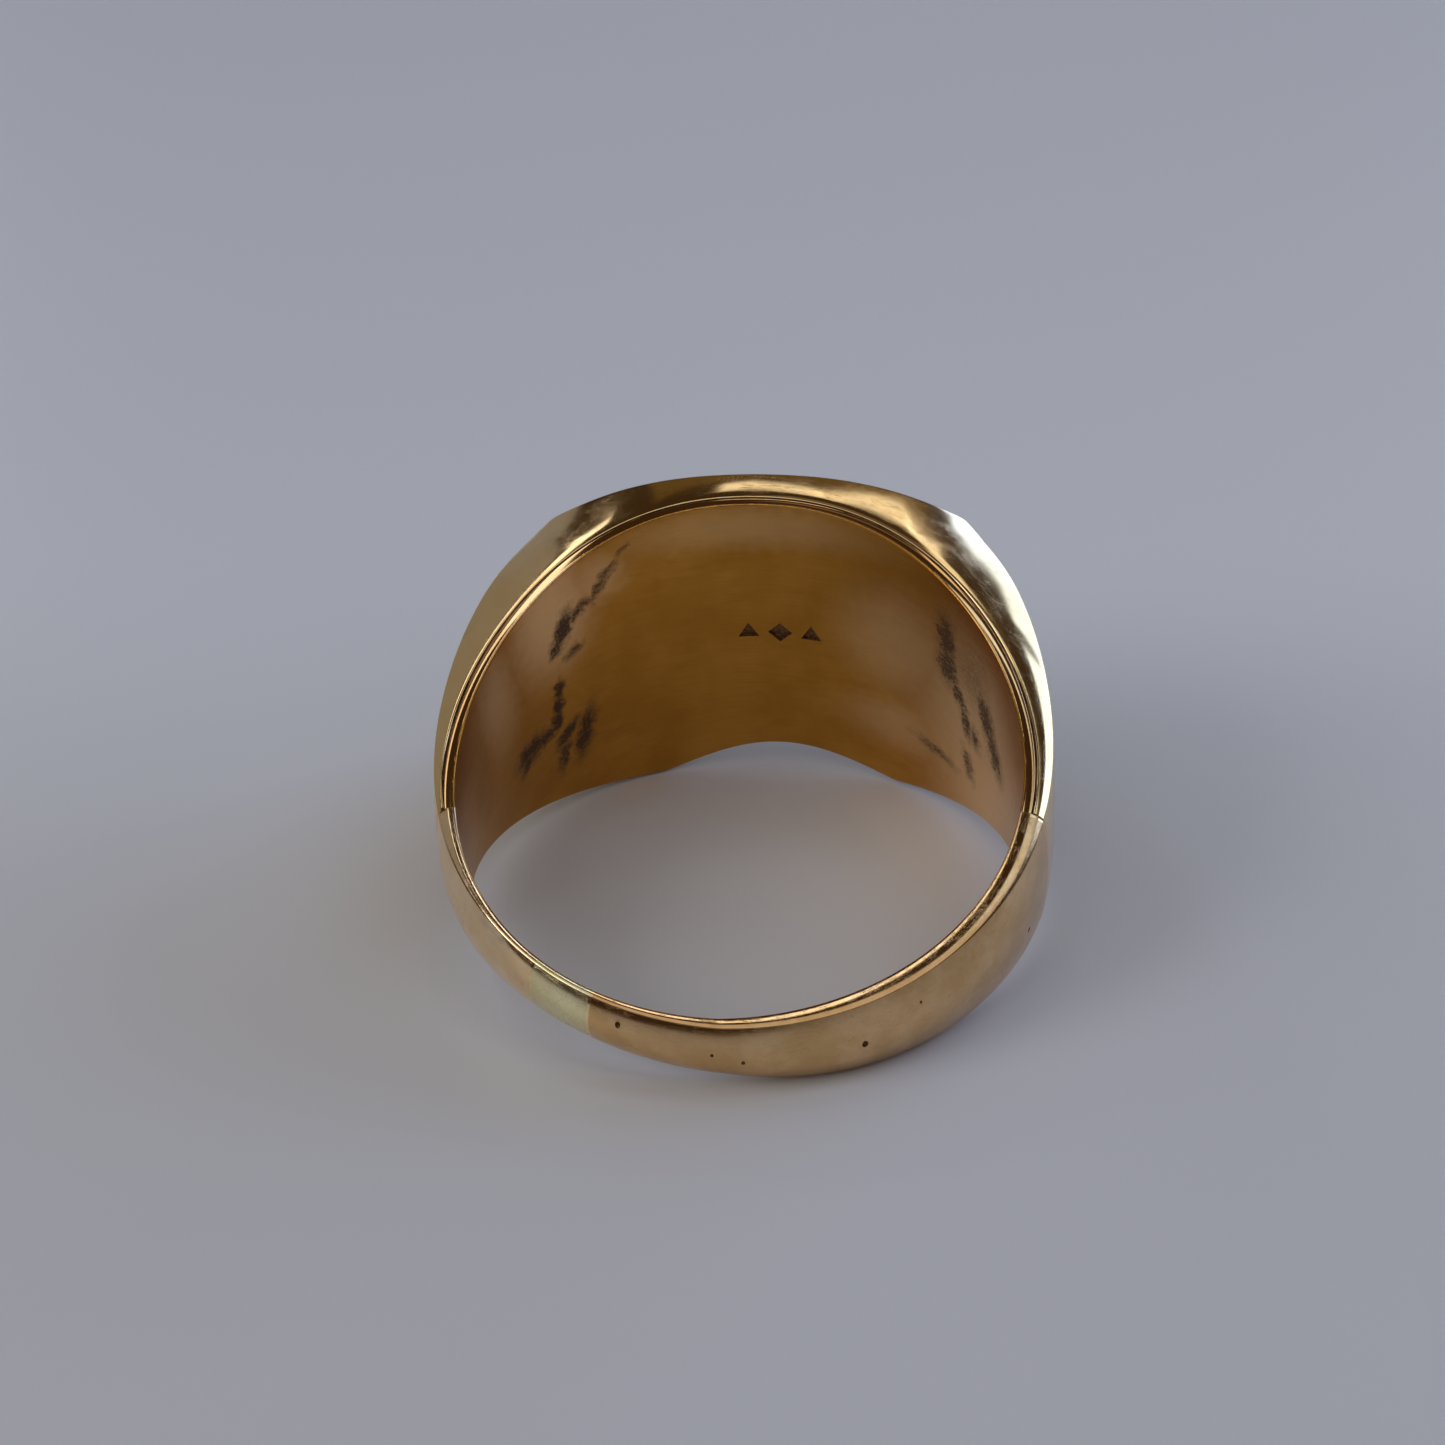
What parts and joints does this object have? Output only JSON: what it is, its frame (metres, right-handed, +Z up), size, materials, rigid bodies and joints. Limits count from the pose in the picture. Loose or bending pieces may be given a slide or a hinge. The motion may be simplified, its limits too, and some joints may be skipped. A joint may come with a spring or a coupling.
{
  "type": "signet ring",
  "caption": "Gold signet ring with a broad hollow head, a soldered back plate and a tapering sized shank.",
  "frame": {"origin": "on the bench, under the middle of the resting ring's box", "axes": "+Z up from the bench, +Y from the back of the shank to the signet table, +X to the right; the finger hole leans 14.5 degrees from +Z towards -Y, as the ring lies on the two feet of its head and on its shank"},
  "size_m": [0.022, 0.0236, 0.0131],
  "materials": {
    "yellow_gold_head": "polished 10 karat yellow gold with a satin cheek",
    "brushed_gold_liner": "brushed gold with dark casting pits",
    "gold_solder": "gold solder, dull",
    "yellow_gold_shank": "worn polished 10 karat yellow gold",
    "pale_gold_insert": "paler, greener gold of the sizing piece"
  },
  "bodies": {
    "root": {"signet_head": "yellow_gold_head", "head_liner": "brushed_gold_liner", "liner_solder_near": "gold_solder", "liner_solder_far": "gold_solder", "head_solder_left": "gold_solder", "head_solder_right": "gold_solder", "shank_arm_left": "yellow_gold_shank", "shank_arm_right": "yellow_gold_shank", "sizing_insert": "pale_gold_insert", "sizing_solder_left": "gold_solder", "sizing_solder_right": "gold_solder"}
  },
  "joints": []
}
